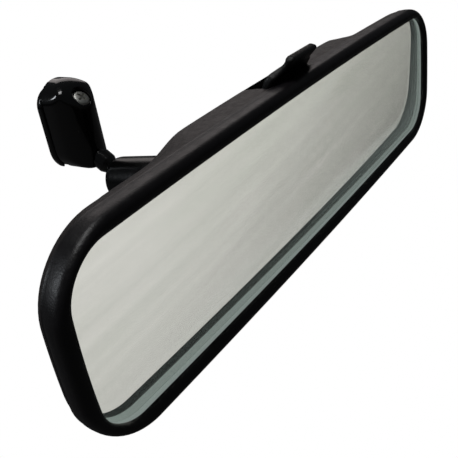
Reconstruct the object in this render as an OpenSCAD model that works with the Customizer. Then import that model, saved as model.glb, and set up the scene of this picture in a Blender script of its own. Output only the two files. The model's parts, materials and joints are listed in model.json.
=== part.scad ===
// Interior rearview mirror: day/night prism head on a twin-ball arm, with a
// windscreen foot. Millimetres. +Z up, the glass faces -Y, X runs along the head.
// Origin: centre of the foot's mounting face, which faces +Y.

/* [Head] */
// Length of the head along X
head_w = 240; // [220:1:250]
// Height of the head at its middle
head_h = 64; // [60:1:68]
// Width of the rim seen around the glass
rim_w = 4.7; // [4:0.1:6]
// Radius of the head's outer corners
corner_r = 19; // [14:1:22]
// Bow of each long edge, from its ends to its middle
edge_bow = 2; // [1:0.1:3]
// Bow of each short edge
end_bow = 1.6; // [1:0.1:2.5]
// Wall of the rear case
wall_t = 1.7; // [1.5:0.1:1.8]
// Depth of the rim's lip in front of the glass
lip_d = 2.4; // [2:0.1:2.6]

/* [Glass] */
// Thickness of the prism at its thin upper edge
glass_thin = 3; // [2.8:0.1:3.1]
// Angle between the front and the silvered back
wedge_deg = 3.4; // [3:0.1:3.6]

/* [Arm] */
// Radius of both balls
ball_r = 7.5; // [7.4:0.05:7.5]
// Outer radius of the arm tube
tube_r = 9.8; // [9.6:0.1:10]
// Radius of each ball stud at its waist
waist_r = 2.9; // [2.6:0.1:3]

/* [Foot] */
// Distance from the rim's plane back to the mounting face
reach = 125; // [124:0.5:126]
// Width of the foot
foot_w = 24; // [23:0.5:26]
// Width of the channel that slides over the windscreen button
channel_w = 16; // [15:0.1:16.5]
// Depth of that channel
channel_d = 5; // [4.8:0.1:5.2]

/* [Day and night lever] */
// Width of the lever's base
lever_w = 27; // [25:0.5:28]
// Width of the lever's finger pad
finger_w = 17.8; // [17:0.2:20]
// Angle that the head tips between night and day
tip_deg = 3.5; // [3:0.1:3.5]
// Angle that the lever flips
flip_deg = 38; // [34:1:38]

/* [Hidden] */
eps = 0.01;
// Running clearance of every pin in its hole
run = 0.05;

// The head's own frame: y back from the rim's front plane, z from the head's middle
head_drop = 8;
half_w = head_w / 2;
half_h = head_h / 2;

// Ball centres, the arm between them, and the neck of the foot's stud
foot_ball = [0, -30.5, -25.2];
head_ball = [0, 43 - reach, -11 - head_drop];
arm_v = foot_ball - head_ball;
arm_l = norm(arm_v);
arm_drop = atan2(-arm_v.z, arm_v.y);
neck_rise = 36;
// Concentric spheres of each joint, from the ball outwards
liner_in = ball_r + 0.05;
liner_out = ball_r + 1.05;
cavity_r = ball_r + 1.1;
split_in = ball_r + 0.52;
split_out = ball_r + 0.58;
// Distance of each rolled-in mouth beyond its ball's centre
mouth_d = 3;
// Distance of each cup's back face from its ball's centre
cup_back = 12;

// Spring between the cups
spring_wire = 0.8;
spring_coil = 6.2;
spring_turns = 5;
spring_steps = 20;

// Foot
foot_top = 19;
foot_bottom = -22;
plate_t = 3;
nose_y = -19;
nose_r = 9.5;
nose_h = 30;
dome_t = 6.8;
screw_head_r = 3.95;
screw_r = 2;
screw_tip = 8.4;
shoulder = [0, -15.8, 11.1];

// Glass, pad and frame planes at the head's middle height
opening_w = half_w - rim_w;
opening_h = half_h - rim_w;
glass_over = 0.8;
// How far the glass, the pad and the frame stay inside the head's outline
glass_in = rim_w - glass_over;
pad_in = glass_in + 2;
frame_in = 8;
pad_t = 0.8;
coat_t = 0.2;
frame_t = 1.6;
seam_y = 6.5;

// Pivot of the head on its carrier, and of the lever in the frame
tilt_axis = [17.8, -22];
tilt_pin_r = 1.5;
lever_axis = [12, 20];
lever_pin_r = 1.25;
toggle_r = 1.3;
crank_h = lever_axis.y - tilt_axis.y - 3.6;
crank_e = crank_h * sin(tip_deg) / (2 * sin(flip_deg / 2));
crank = lever_axis + crank_e * [sin(flip_deg / 2), -cos(flip_deg / 2)];
cheek_x = 8.6;
cheek_t = 3.4;
slot_half = lever_w / 2 + 0.6;
plate_y = 17;
plate_t2 = 1.6;

// Rear case stations: depth, half length, top, bottom and corner radius.
// The dish spans the whole head and the boss rises from its middle to the arm.
DISH = [
    [seam_y, half_w - 0.9, half_h - 0.5, half_h - 0.3, corner_r],
    [10, half_w - 2.9, half_h - 1.6, half_h - 1.7, corner_r - 1],
    [14, half_w - 9.4, half_h - 3.9, half_h - 4.3, corner_r],
    [18, half_w - 19, half_h - 6.3, half_h - 6.8, corner_r + 1],
    [21.5, half_w - 36, half_h - 9.8, half_h - 9.8, corner_r],
    [24, half_w - 58, half_h - 13, half_h - 13, corner_r - 2]];
BOSS = [
    [seam_y + 1, 62, half_h - 1, half_h - 1, 14],
    [14, 59.5, half_h - 2.5, half_h - 2.4, 14],
    [20, 55, half_h - 4.8, half_h - 4, 14],
    [26, 45, half_h - 7.6, half_h - 4.8, 14],
    [31, 38, half_h - 10.3, half_h - 5, 14],
    [36, 31.5, half_h - 12.8, half_h - 5, 14],
    [41, 25, half_h - 15.6, half_h - 5, 14],
    [45, 20.3, half_h - 18, half_h - 5, 13.5]];
arc_steps = 7;
side_steps = 10;
opening_r = 15;

module in_head() translate([0, -reach, -head_drop]) children();
// Puts +Z along the arm, from the head's ball to the foot's
module on_arm() translate(head_ball) rotate([-90 - arm_drop, 0, 0]) children();
// Puts +Z along X at a pivot of the head
module on_pivot(p) translate([0, p.x, p.y]) rotate([0, 90, 0]) children();

// Rounded rectangle with bowed sides, as points in the XZ plane at depth y
function bow_x(p, b, e) = p.x * (1 - e / half_w * pow(p.y / b, 2));
function bow_z(p, a, k) = p.y * (1 - k / half_h * pow(p.x / a, 2));
function corner(cx, cz, r, a0) =
    [for (i = [0 : arc_steps]) [cx + r * cos(a0 + 90 * i / arc_steps),
                                cz + r * sin(a0 + 90 * i / arc_steps)]];
function side(p, q) =
    [for (i = [1 : side_steps - 1]) p + (q - p) * i / side_steps];
function rounded(a, top, bottom, r) = concat(
    corner(a - r, top - r, r, 0), side([a - r, top], [r - a, top]),
    corner(r - a, top - r, r, 90), side([-a, top - r], [-a, r - bottom]),
    corner(r - a, r - bottom, r, 180), side([r - a, -bottom], [a - r, -bottom]),
    corner(a - r, r - bottom, r, 270), side([a, r - bottom], [a, top - r]));
function outline(a, top, bottom, r) =
    [for (p = rounded(a, top, bottom, r))
        [bow_x(p, p.y > 0 ? top : bottom, end_bow * a / half_w),
         bow_z(p, a, edge_bow * a / half_w)]];

// Closed solid through a list of stations
module loft(stations) {
    rings = [for (s = stations)
        [for (p = outline(s[1], s[2], s[3], s[4])) [p.x, s[0], p.y]]];
    n = len(rings[0]);
    m = len(rings);
    points = [for (ring = rings) for (p = ring) p];
    walls = [for (j = [0 : m - 2]) for (i = [0 : n - 1]) let (k = (i + 1) % n)
        each [[j * n + i, j * n + k, (j + 1) * n + i],
              [j * n + k, (j + 1) * n + k, (j + 1) * n + i]]];
    front = [for (i = [n - 1 : -1 : 0]) i];
    back = [for (i = [0 : n - 1]) (m - 1) * n + i];
    polyhedron(points, concat([front], walls, [back]));
}

// A prism of the head's outline, shrunk by d, between two depths
module slab(d, y0, y1) {
    s = [half_w - d, half_h - d, half_h - d, corner_r - d];
    loft([concat([y0], s), concat([y1], s)]);
}

// Slanted layer parallel to the glass's silvered back, d behind it and t thick
module layer(d, t) {
    translate([0, lip_d + glass_thin + d, half_h]) rotate([wedge_deg, 0, 0])
        translate([-head_w, 0, -2 * head_h]) cube([2 * head_w, t, 3 * head_h]);
}

module foot_outline(w, top, bottom, top_r, bottom_r, t) {
    hull() for (s = [-1, 1]) {
        translate([s * (w / 2 - top_r), 0, top - top_r])
            rotate([90, 0, 0]) cylinder(r = top_r, h = t, $fn = 32);
        translate([s * (w / 2 - bottom_r), 0, bottom + bottom_r])
            rotate([90, 0, 0]) cylinder(r = bottom_r, h = t, $fn = 32);
    }
}

// Points +Z out of the sloping shoulder, at the clamp screw
module at_shoulder() translate(shoulder) rotate([45, 0, 0]) children();
// Puts +Z along the neck of the foot's ball stud
module on_neck() translate(foot_ball) rotate([neck_rise - 90, 0, 0]) children();

// Die-cast foot with the button channel and the sloping screw shoulder
module foot_casting() color([0.04, 0.04, 0.045]) difference() {
    union() {
        foot_outline(foot_w, 16.5, foot_bottom, 8, 11, plate_t);
        hull() {
            translate([0, eps - plate_t, 0])
                foot_outline(foot_w - 1, foot_top, foot_bottom + 0.5, 11.2, 10.5, dome_t);
            translate([0, nose_y + nose_r, foot_bottom + 2])
                cylinder(r = nose_r, h = nose_h, $fn = 32);
        }
    }
    // Button channel, open at the bottom
    translate([-channel_w / 2, -channel_d, -34]) cube([channel_w, channel_d + 1, 40]);
    translate([0, 1, 6]) rotate([90, 0, 0])
        cylinder(r = channel_w / 2, h = channel_d + 1, $fn = 64);
    // Screw bore, its head's seat and the shoe's pocket
    at_shoulder() translate([0, 0, -30]) cylinder(r = screw_r + run, h = 40, $fn = 48);
    at_shoulder() translate([0, 0, -2.4])
        cylinder(r = screw_head_r + 0.2, h = 12, $fn = 64);
    // Bore for the ball stud and its shoulder
    on_neck() cylinder(r = 3.5, h = 24, $fn = 48);
    on_neck() cylinder(r = 4.6, h = 15, $fn = 64);
}

// Phillips pan-head screw that clamps the foot on the button
module clamp_screw() color([0.82, 0.83, 0.84]) at_shoulder() difference() {
    union() {
        translate([0, 0, -screw_tip]) cylinder(r = screw_r, h = screw_tip, $fn = 48);
        translate([0, 0, -2.4]) cylinder(r = screw_head_r, h = 2, $fn = 64);
        intersection() {
            translate([0, 0, -2.4]) cylinder(r = screw_head_r, h = 6, $fn = 64);
            translate([0, 0, -9.4]) sphere(r = 10, $fn = 64);
        }
    }
    for (a = [0, 90]) rotate([0, 0, a])
        translate([-2.3, -0.55, -1.6]) cube([4.6, 1.1, 4]);
}

// Bronze shoe that the screw presses against the button
module clamp_shoe() color([0.6, 0.45, 0.25]) intersection() {
    at_shoulder() translate([0, 0, -screw_tip - 4.5])
        cylinder(r = screw_r, h = 4.4, $fn = 48);
    translate([-10, -40, -40]) cube([20, 40 - channel_d, 80]);
}

// Ball stud pressed into the foot
module foot_ball_stud() color([0.06, 0.06, 0.065]) on_neck() difference() {
    union() {
        sphere(r = ball_r, $fn = 96);
        cylinder(r = waist_r, h = 12, $fn = 64);
        translate([0, 0, 7.4]) cylinder(r1 = waist_r, r2 = 4.6, h = 3.6, $fn = 64);
        translate([0, 0, 11 - eps]) cylinder(r = 4.6, h = 4, $fn = 64);
        cylinder(r = 3.5, h = 22, $fn = 48);
    }
    translate([0, 0, -ball_r - 1]) cylinder(r = 2, h = 2.5, $fn = 32);
}

// Spherical liner between two radii, from a ball's back to beyond its middle
module liner(r0, r1, beyond) difference() {
    sphere(r = r1, $fn = 96);
    sphere(r = r0, $fn = 96);
    translate([-20, -20, beyond]) cube(40);
    translate([0, 0, -20]) cylinder(r = 3, h = 20, $fn = 48);
}

// Nylon liner of the foot's ball
module foot_ball_liner() color([0.85, 0.83, 0.76])
    on_arm() translate([0, 0, arm_l]) liner(liner_in, liner_out, 2);

// Solid of the tube at radius r: a cylinder with a ball at each end
module tube_core(r) {
    cylinder(r = r, h = arm_l, $fn = 96);
    for (z = [0, arm_l]) translate([0, 0, z]) sphere(r = r, $fn = 96);
}

// Arm tube with both mouths rolled in over the balls
module arm_tube() color([0.05, 0.05, 0.055]) on_arm() difference() {
    tube_core(tube_r);
    tube_core(cavity_r);
    translate([-20, -20, arm_l + mouth_d]) cube(40);
    translate([-20, -20, -40 - mouth_d]) cube(40);
}

// Compression spring that loads both joints
module arm_spring() color([0.6, 0.6, 0.62]) {
    z0 = cup_back + spring_wire + 0.1;
    pitch = (arm_l - 2 * z0) / spring_turns;
    sides = 8;
    count = spring_turns * spring_steps;
    rings = [for (i = [0 : count]) let (a = 360 * i / spring_steps)
        [for (j = [0 : sides - 1])
            let (b = 360 * j / sides, r = spring_coil + spring_wire * cos(b))
            [r * cos(a), r * sin(a), z0 + pitch * i / spring_steps + spring_wire * sin(b)]]];
    walls = [for (i = [0 : count - 1]) for (j = [0 : sides - 1]) let (k = (j + 1) % sides)
        each [[i * sides + j, i * sides + k, (i + 1) * sides + j],
              [i * sides + k, (i + 1) * sides + k, (i + 1) * sides + j]]];
    first = [for (j = [sides - 1 : -1 : 0]) j];
    last = [for (j = [0 : sides - 1]) count * sides + j];
    on_arm() polyhedron([for (ring = rings) for (p = ring) p], concat([first], walls, [last]));
}

// Pressure cup with its ball at the origin and its back towards -Z
module cup() difference() {
    translate([0, 0, -cup_back]) cylinder(r = cavity_r - 0.1, h = cup_back - 2, $fn = 96);
    sphere(r = cavity_r + 0.05, $fn = 96);
    translate([0, 0, -cup_back - 1]) cylinder(r = 3.5, h = cup_back, $fn = 48);
}

// Cup behind the foot's ball
module foot_end_cup() color([0.55, 0.56, 0.58])
    on_arm() translate([0, 0, arm_l]) cup();

// Cup behind the head's ball
module head_end_cup() color([0.55, 0.56, 0.58])
    on_arm() mirror([0, 0, 1]) cup();

// Outer nylon seat of the head's ball
module head_ball_seat() color([0.85, 0.83, 0.76])
    on_arm() mirror([0, 0, 1]) liner(split_out, liner_out, 2);

// Inner slip liner of the head's ball
module head_ball_liner() color([0.93, 0.92, 0.9])
    on_arm() mirror([0, 0, 1]) liner(liner_in, split_in, 1.6);

// Distance from the head's ball forward to the carrier plate's rear face
stud_l = head_ball.y + reach - plate_y - plate_t2;

// Ball stud riveted to the carrier, its ball towards the arm
module head_ball_stud() color([0.5, 0.5, 0.52])
    translate(head_ball) rotate([90, 0, 0]) union() {
        sphere(r = ball_r, $fn = 96);
        cylinder(r = waist_r, h = 12, $fn = 64);
        translate([0, 0, 7.4]) cylinder(r1 = waist_r, r2 = 4.4, h = 4.6, $fn = 64);
        translate([0, 0, 12 - eps]) cylinder(r = 4.4, h = stud_l - 14 + eps, $fn = 64);
        translate([0, 0, stud_l - 2]) cylinder(r = 7, h = 2, $fn = 64);
        cylinder(r = 3, h = stud_l + plate_t2 + 1, $fn = 48);
        translate([0, 0, stud_l + plate_t2 + 0.8]) cylinder(r = 4.4, h = 0.8, $fn = 48);
    }

// Washer under the stud's riveted end
module stud_washer() color([0.7, 0.7, 0.72])
    translate(head_ball) rotate([90, 0, 0]) translate([0, 0, stud_l + plate_t2])
        difference() {
            cylinder(r = 6.5, h = 0.8, $fn = 64);
            translate([0, 0, -1]) cylinder(r = 3, h = 4, $fn = 48);
        }

knuckle_r = 3.4;
knuckle_x = [-19, 11];
knuckle_l = 8;
fork_x = 5.5;

// Pressed steel carrier: plate, pivot knuckles and the toggle's fork
module carrier_plate() color([0.62, 0.63, 0.65]) in_head() difference() {
    union() {
        translate([-20.8, plate_y, -16.8]) cube([41.6, plate_t2, 26.8]);
        translate([-14, plate_y, 10 - eps]) cube([28, plate_t2, 3]);
        // Arms down to the pivot knuckles
        for (x = knuckle_x) translate([x, plate_y, tilt_axis.y]) cube([knuckle_l, plate_t2, 6]);
        for (x = knuckle_x) translate([x, 0, 0]) on_pivot(tilt_axis)
            cylinder(r = knuckle_r, h = knuckle_l, $fn = 64);
        // Fork around the toggle pin
        translate([-fork_x, crank.x - 3, 11.4]) cube([2 * fork_x, plate_y - crank.x + 3 + eps, 1.5]);
        translate([-fork_x, crank.x + toggle_r + 0.15, 12.9 - eps]) cube([2 * fork_x, 1.2, 4.6]);
        translate([-fork_x, crank.x - toggle_r - 1.35, 12.9 - eps]) cube([2 * fork_x, 1.2, 4.6]);
    }
    translate([-30, 0, 0]) on_pivot(tilt_axis) cylinder(r = tilt_pin_r + 0.8, h = 60, $fn = 48);
    translate([0, plate_y - 1, head_ball.z + head_drop]) rotate([-90, 0, 0])
        cylinder(r = 3, h = 4, $fn = 48);
}

// Plastic bushes in the knuckles
module carrier_bushes() color([0.9, 0.88, 0.8]) in_head()
    for (x = knuckle_x) translate([x, 0, 0]) on_pivot(tilt_axis) difference() {
        cylinder(r = tilt_pin_r + 0.8, h = knuckle_l, $fn = 64);
        translate([0, 0, -1]) cylinder(r = tilt_pin_r + run, h = knuckle_l + 2, $fn = 48);
    }

// The same stations inside the wall; the last one closes the back
function inner(stations) = [for (i = [0 : len(stations) - 1])
    let (s = stations[i], back = i == len(stations) - 1 ? 1 : 0.35)
    [s[0] - wall_t * back, s[1] - wall_t, s[2] - wall_t, s[3] - wall_t, s[4] - wall_t]];

// Room behind the mouth, thinner walled there for the glass and its frame
CAVITY = concat([
    [seam_y - 0.1, half_w - 2.5, half_h - 2.2, half_h - 2, corner_r - 2],
    [10, half_w - 3.9, half_h - 3.1, half_h - 3.2, corner_r - 3.5]],
    inner([for (i = [2 : len(DISH) - 1]) DISH[i]]));

// Rear case: hollow shell with the arm's opening and the lever's slot
module rear_case() color([0.235, 0.215, 0.215]) in_head() difference() {
    union() {
        difference() {
            union() {
                loft(DISH);
                loft(BOSS);
            }
            loft(CAVITY);
            loft(inner(BOSS));
        }
        for (x = screw_x) translate([x, 10.3, 0]) rotate([-90, 0, 0])
            cylinder(r = 3.2, h = 12.6, $fn = 48);
    }
    translate([0, 25, head_ball.z + head_drop]) rotate([-90, 0, 0])
        cylinder(r = opening_r, h = 40, $fn = 96);
    for (x = screw_x) translate([x, 9, 0]) rotate([-90, 0, 0])
        cylinder(r = 1.2, h = 9, $fn = 32);
    translate([-slot_half, seam_y + 0.8, 18]) cube([2 * slot_half, 11.6, 20]);
}

// One station of the bezel's skirt, which fits inside the case's mouth
function skirt(y, d) = [y, half_w - d, half_h - d, half_h - d, corner_r - d];

// Front bezel: rounded rim, lip over the glass and a skirt inside the case
module front_bezel() color([0.05, 0.05, 0.055]) in_head() difference() {
    union() {
        r = corner_r;
        loft([[-0.5, half_w - 1.6, half_h - 1.6, half_h - 1.6, r - 1.6],
              [0.3, half_w - 0.7, half_h - 0.7, half_h - 0.7, r - 0.7],
              [1.6, half_w, half_h, half_h, r],
              [3.8, half_w, half_h, half_h, r],
              [seam_y - 0.1, half_w - 0.9, half_h - 0.5, half_h - 0.3, r]]);
        loft([skirt(seam_y - 1, wall_t + 0.95), skirt(seam_y + 0.7, wall_t + 1.45)]);
    }
    loft([[-2, opening_w + 1, opening_h + 1, opening_h + 1, corner_r - rim_w + 1],
          [0.4, opening_w, opening_h, opening_h, corner_r - rim_w],
          [20, opening_w, opening_h, opening_h, corner_r - rim_w]]);
    slab(glass_in - 0.15, lip_d, 30);
    translate([-slot_half - 1, seam_y + 0.1, 20]) cube([2 * slot_half + 2, 9, 20]);
}

// Wedge-shaped glass
module mirror_glass() color([0.72, 0.75, 0.74, 0.5]) in_head() difference() {
    slab(glass_in, lip_d + 0.02, 14);
    layer(0, 60);
}

// Silver layer and its backing paint
module silver_coating() color([0.9, 0.9, 0.9]) in_head() intersection() {
    slab(glass_in, lip_d, 14);
    layer(0.01, coat_t);
}

// Foam pad behind the glass
module glass_pad() color([0.2, 0.2, 0.2]) in_head() difference() {
    intersection() {
        slab(pad_in, lip_d, 14);
        layer(coat_t + 0.02, pad_t);
    }
    translate([-slot_half, 0, 8]) cube([2 * slot_half, 30, 30]);
}

// Screws that hold the frame to posts of the rear case
screw_x = [-62, 62];
lug_x = 21.5;
lug_t = 4;

// Frame behind the glass that carries both pivots
module backing_frame() color([0.13, 0.13, 0.14]) in_head() difference() {
    union() {
        intersection() {
            slab(frame_in, lip_d, 16);
            layer(coat_t + pad_t + 0.04, frame_t);
        }
        // Lugs of the tilt pin
        for (s = [-1, 1]) translate([s * lug_x + (s < 0 ? -lug_t : 0), 0, 0]) {
            translate([0, 10.4, tilt_axis.y - 4]) cube([lug_t, tilt_axis.x - 10.4, 8]);
            on_pivot(tilt_axis) cylinder(r = 4, h = lug_t, $fn = 64);
        }
        // Posts of the lever pin
        for (s = [-1, 1]) translate([s * (slot_half + 0.6) + (s < 0 ? -3 : 0), 0, 0]) {
            translate([0, 7.9, lever_axis.y - 4]) cube([3, lever_axis.x - 7.9, 7]);
            on_pivot(lever_axis) cylinder(r = 3.4, h = 3, $fn = 64);
        }
    }
    translate([-slot_half, 0, 9]) cube([2 * slot_half, 30, 30]);
    translate([-30, 0, 0]) on_pivot(tilt_axis) cylinder(r = tilt_pin_r, h = 60, $fn = 48);
    translate([-30, 0, 0]) on_pivot(lever_axis) cylinder(r = lever_pin_r, h = 60, $fn = 48);
    for (x = screw_x) translate([x, 0, 0]) rotate([-90, 0, 0]) {
        cylinder(r = 1.5, h = 20, $fn = 32);
        cylinder(r = 3.1, h = 9.35, $fn = 48);
    }
    for (x = [-88, -38, 38, 88]) translate([x - 10, 0, -10]) cube([20, 30, 20]);
}

// Screws from the frame into the posts of the rear case
module frame_screws() color([0.75, 0.75, 0.76]) in_head()
    for (x = screw_x) translate([x, 8.6, 0]) rotate([-90, 0, 0]) difference() {
        union() {
            cylinder(r = 2.8, h = 0.7, $fn = 48);
            cylinder(r = 1.2, h = 8, $fn = 32);
        }
        for (a = [0, 90]) rotate([0, 0, a]) translate([-1.5, -0.35, -1]) cube([3, 0.7, 1.4]);
    }

// Spring clips on the frame's back, one pair to each stretch of the bezel
module bezel_clips() color([0.7, 0.7, 0.72]) in_head() intersection() {
    for (x = [-80, -30, 30, 80]) for (z = [20.8, -25.2])
        translate([x - 4, 0, z]) cube([8, 20, z > 0 ? 6 : 4.8]);
    layer(coat_t + pad_t + frame_t + 0.07, 0.8);
}

// Pin that the head tips on
module tilt_pin() color([0.8, 0.8, 0.82]) in_head()
    translate([-lug_x - lug_t - 0.8, 0, 0]) on_pivot(tilt_axis)
        cylinder(r = tilt_pin_r, h = 2 * (lug_x + lug_t + 0.8), $fn = 48);

// Pin that the lever turns on
module lever_pin() color([0.8, 0.8, 0.82]) in_head()
    translate([-slot_half - 4, 0, 0]) on_pivot(lever_axis)
        cylinder(r = lever_pin_r, h = 2 * (slot_half + 4), $fn = 48);

// Leaf spring that presses on the lever's flats
module detent_spring() color([0.7, 0.7, 0.72]) in_head()
    for (s = [-1, 1]) translate([s * (cheek_x + cheek_t / 2) - 1.5, 0, 0]) {
        translate([0, 9.95, 3]) cube([3, 0.5, 10]);
        translate([0, 10.45 - eps, 3]) cube([3, 0.8, 3]);
    }

// Rubber buffers that the carrier meets at each end of the tip
module stop_buffers() color([0.08, 0.08, 0.08]) in_head()
    for (x = [-17, 17]) translate([x, 9.95, 4]) rotate([-90, 0, 0])
        cylinder(r = 3, h = 5, $fn = 48);

// Side profile of the lever's base and of its finger, as [y, z]
BASE = [[9.3, 18], [14.4, 18], [12.4, 27], [10.6, 30.4], [9.2, 33.6], [7.2, 35.2],
        [5.2, 34.2], [5.4, 32.6], [7.7, 32.3], [7.9, 27]];
FINGER = [[9.2, 33.6], [3.9, 37.2], [3.6, 39.6], [2.6, 40.2], [0.9, 40], [0.2, 39.2],
          [0.9, 37.8], [3.4, 35.6], [5.2, 33.2], [8, 32.4]];

// Extrudes a [y, z] profile along X, centred
module along_x(profile, w) translate([-w / 2, 0, 0])
    rotate([90, 0, 90]) linear_extrude(height = w) polygon(profile);

// Lever with its base, finger and two hub cheeks
module lever_tab() color([0.03, 0.03, 0.03]) in_head() difference() {
    union() {
        along_x(BASE, lever_w);
        along_x(FINGER, finger_w);
        for (s = [-1, 1]) translate([s > 0 ? cheek_x : -cheek_x - cheek_t, 0, 0]) {
            on_pivot(lever_axis) cylinder(r = 4, h = cheek_t, $fn = 64);
            on_pivot(crank) cylinder(r = 2.6, h = cheek_t, $fn = 64);
        }
    }
    translate([-cheek_x, 5, 10]) cube([2 * cheek_x, 15, 16]);
    for (s = [-1, 1]) translate([s > 0 ? cheek_x + cheek_t : -20 - cheek_x - cheek_t, 5, 10])
        cube([20, 15, 14.5]);
    translate([-30, 0, 0]) on_pivot(lever_axis) cylinder(r = lever_pin_r + 0.75, h = 60, $fn = 48);
    translate([-30, 0, 0]) on_pivot(crank) cylinder(r = toggle_r, h = 60, $fn = 48);
}

// Pin that the carrier's fork holds
module toggle_pin() color([0.8, 0.8, 0.82]) in_head()
    translate([-cheek_x - cheek_t, 0, 0]) on_pivot(crank)
        cylinder(r = toggle_r, h = 2 * (cheek_x + cheek_t), $fn = 48);

// Bushes in the lever's cheeks
module lever_bushes() color([0.9, 0.88, 0.8]) in_head()
    for (s = [-1, 1]) translate([s > 0 ? cheek_x : -cheek_x - cheek_t, 0, 0])
        on_pivot(lever_axis) difference() {
            cylinder(r = lever_pin_r + 0.75, h = cheek_t, $fn = 64);
            translate([0, 0, -1]) cylinder(r = lever_pin_r + run, h = cheek_t + 2, $fn = 48);
        }

foot_casting();
clamp_screw();
clamp_shoe();
foot_ball_stud();
foot_ball_liner();
arm_tube();
arm_spring();
foot_end_cup();
head_end_cup();
head_ball_seat();
head_ball_liner();
head_ball_stud();
stud_washer();
carrier_plate();
carrier_bushes();
rear_case();
front_bezel();
mirror_glass();
silver_coating();
glass_pad();
backing_frame();
frame_screws();
bezel_clips();
tilt_pin();
lever_pin();
detent_spring();
stop_buffers();
lever_tab();
toggle_pin();
lever_bushes();
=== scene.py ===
import json
import math

import bmesh
import bpy
import numpy as np
from mathutils import Matrix, Vector


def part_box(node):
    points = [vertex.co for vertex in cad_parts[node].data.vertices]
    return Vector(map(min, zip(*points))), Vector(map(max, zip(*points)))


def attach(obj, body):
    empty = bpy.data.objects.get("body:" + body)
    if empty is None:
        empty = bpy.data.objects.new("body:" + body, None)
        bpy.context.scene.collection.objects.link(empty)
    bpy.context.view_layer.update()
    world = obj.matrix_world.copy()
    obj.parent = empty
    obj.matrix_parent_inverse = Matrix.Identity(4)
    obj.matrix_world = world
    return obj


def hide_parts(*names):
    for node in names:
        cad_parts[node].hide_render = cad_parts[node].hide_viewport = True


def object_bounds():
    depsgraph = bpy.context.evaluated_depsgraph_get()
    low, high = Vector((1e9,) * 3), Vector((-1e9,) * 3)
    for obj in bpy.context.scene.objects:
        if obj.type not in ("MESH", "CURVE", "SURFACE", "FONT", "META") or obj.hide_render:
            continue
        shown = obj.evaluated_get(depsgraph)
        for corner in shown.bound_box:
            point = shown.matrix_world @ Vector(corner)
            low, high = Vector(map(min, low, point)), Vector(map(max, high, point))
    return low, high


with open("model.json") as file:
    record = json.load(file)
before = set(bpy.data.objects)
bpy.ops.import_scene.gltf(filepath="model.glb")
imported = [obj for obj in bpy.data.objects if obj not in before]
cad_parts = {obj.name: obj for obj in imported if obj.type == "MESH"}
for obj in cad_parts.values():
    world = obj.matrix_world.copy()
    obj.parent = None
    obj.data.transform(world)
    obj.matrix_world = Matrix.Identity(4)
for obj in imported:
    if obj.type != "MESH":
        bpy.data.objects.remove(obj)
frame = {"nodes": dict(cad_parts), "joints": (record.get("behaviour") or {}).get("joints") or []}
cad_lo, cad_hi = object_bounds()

MM = 0.001

# ---------------------------------------------------------------- places taken from the frame


def size(node):
    """Lowest and highest corner of a CAD node, in millimetres."""
    lo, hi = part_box(node)
    return np.array(lo) / MM, np.array(hi) / MM


def pivot(joint):
    """A joint's place, in millimetres."""
    return next(np.array(j["pos_m"]) / MM for j in frame["joints"] if j["name"] == joint)


RIM_CROWN = 0.5
rim_lo, rim_hi = size("front_bezel")
case_lo, case_hi = size("rear_case")
HALF_W = rim_hi[0]
HALF_H = (rim_hi[2] - rim_lo[2]) / 2
HEAD = np.array([0, rim_lo[1] + RIM_CROWN, (rim_hi[2] + rim_lo[2]) / 2])
SEAM = case_lo[1] - HEAD[1]
CASE_BACK = case_hi[1] - HEAD[1]
FOOT_BALL = pivot("arm_swing")
HEAD_BALL = pivot("head_yaw")
LEVER_AXIS = pivot("lever_flip") - HEAD
# Head: corners, bow of its sides, rim and wall
CORNER_R = 21.5
OPENING_CORNER_R = 13
EDGE_BOW = 2
END_BOW = 1.6
RIM_W = 4.7
WALL = 1.7
LIP = 1.8
# Prism: inset from the outline, thin edge, wedge and ground bevel
GLASS_IN = 3.9
GLASS_THIN = 2.2
WEDGE = math.radians(2.6)
GRIND = 0.35
# Openings of the case for the arm and the lever
OPENING_R = 15
SLOT_HALF = 14.1
SLOT_BACK = 18.9
SLOT_LOW = 18
# Cheeks of the lever
CHEEK_X = 8.6
CHEEK_T = 3.4
# Channel of the foot: half width, depth and height of its round end
CHANNEL_HALF = 8
CHANNEL_D = 5
CHANNEL_END = 6

# ---------------------------------------------------------------- mesh helpers


def mesh_object(name, points, faces, smooth_deg=35):
    """An object from points in millimetres, row frame, with smooth shading up to an angle."""
    mesh = bpy.data.meshes.new(name)
    mesh.from_pydata((np.asarray(points, float) * MM).tolist(), [], faces)
    obj = bpy.data.objects.new(name, mesh)
    bpy.context.scene.collection.objects.link(obj)
    tidy(obj, smooth_deg)
    return obj


def tidy(obj, smooth_deg=35):
    """Outward normals, no doubled points, smooth shading with sharp edges above an angle."""
    bm = bmesh.new()
    bm.from_mesh(obj.data)
    bmesh.ops.remove_doubles(bm, verts=bm.verts, dist=1e-7)
    bmesh.ops.recalc_face_normals(bm, faces=bm.faces)
    bm.to_mesh(obj.data)
    bm.free()
    obj.data.shade_smooth()
    obj.data.set_sharp_from_angle(angle=math.radians(smooth_deg))


def bake(obj, smooth_deg=35):
    """Applies the object's modifiers to its mesh."""
    graph = bpy.context.evaluated_depsgraph_get()
    done = bpy.data.meshes.new_from_object(obj.evaluated_get(graph))
    obj.modifiers.clear()
    obj.data = done
    tidy(obj, smooth_deg)
    return obj


def combine(obj, other, how, smooth_deg=35):
    """Boolean of two objects; the other one is used up."""
    mod = obj.modifiers.new("boolean", "BOOLEAN")
    mod.operation = how
    mod.solver = "MANIFOLD"
    mod.object = other
    bake(obj, smooth_deg)
    bpy.data.objects.remove(other)
    return obj


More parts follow.
